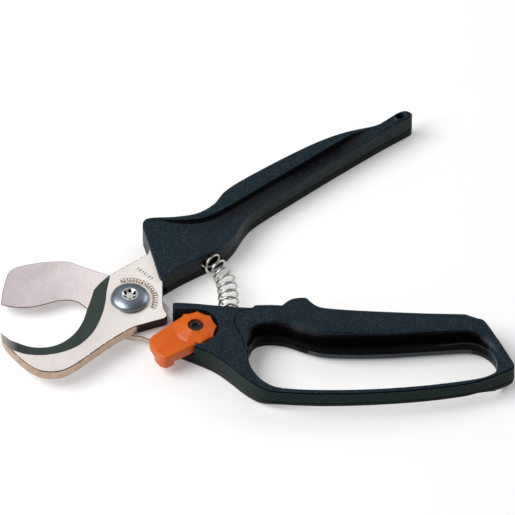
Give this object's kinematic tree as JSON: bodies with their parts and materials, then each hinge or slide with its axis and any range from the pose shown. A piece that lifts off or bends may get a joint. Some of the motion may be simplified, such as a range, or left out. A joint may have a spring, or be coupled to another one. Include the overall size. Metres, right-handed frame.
{
  "type": "pruning shears",
  "caption": "Bypass pruning shears with a hooked counter blade, a wide cutting blade, a coil return spring, a swivelling lock lever and a lower handle with a closed finger loop.",
  "frame": {"origin": "on the pivot axis, in the plane of the table that the shears lie on, at the pivot bolt's flat end", "axes": "+X along the lower handle, away from the jaws; +Y across, towards the upper handle; +Z out of the front face, along the pivot"},
  "size_m": [0.2249, 0.1642, 0.0151],
  "materials": {
    "hook_steel": "satin chromed steel with a dark polished bevel",
    "blade_steel": "satin ground steel",
    "bolt_steel": "polished dark steel",
    "washer_steel": "zinc plated",
    "bush_bronze": "sintered bronze",
    "spring_wire": "bright plated spring wire",
    "handle_nylon": "fine grained black nylon",
    "lock_plastic": "satin orange moulding",
    "screw_black": "black oxide"
  },
  "bodies": {
    "lower_lever": {"cutting_blade": "blade_steel", "lower_handle": "handle_nylon", "pivot_bolt": "bolt_steel", "pivot_head_washer": "washer_steel", "pivot_spring_washer": "washer_steel", "pivot_nut": "washer_steel", "return_spring": "spring_wire", "lock_screw": "screw_black", "lock_bush": "washer_steel", "lock_wave_washer": "washer_steel", "lock_nut": "washer_steel"},
    "upper_lever": {"hook_plate": "hook_steel", "upper_handle": "handle_nylon", "pivot_bush": "bush_bronze"},
    "lock": {"lock_lever": "lock_plastic"}
  },
  "joints": [
    {"name": "jaw_pivot", "type": "hinge", "parent": "lower_lever", "child": "upper_lever", "pos_m": [0, 0, 0.0087], "axis": [0, 0, 1], "range_deg": [-42, 0], "stiffness_Nm_per_rad": 1.5, "springref_deg": 9.74, "deforming": ["return_spring"]},
    {"name": "lock_pivot", "type": "hinge", "parent": "lower_lever", "child": "lock", "pos_m": [0.0289, -0.0175, 0.009], "axis": [0, 0, 1], "range_deg": [-22, 0]}
  ]
}
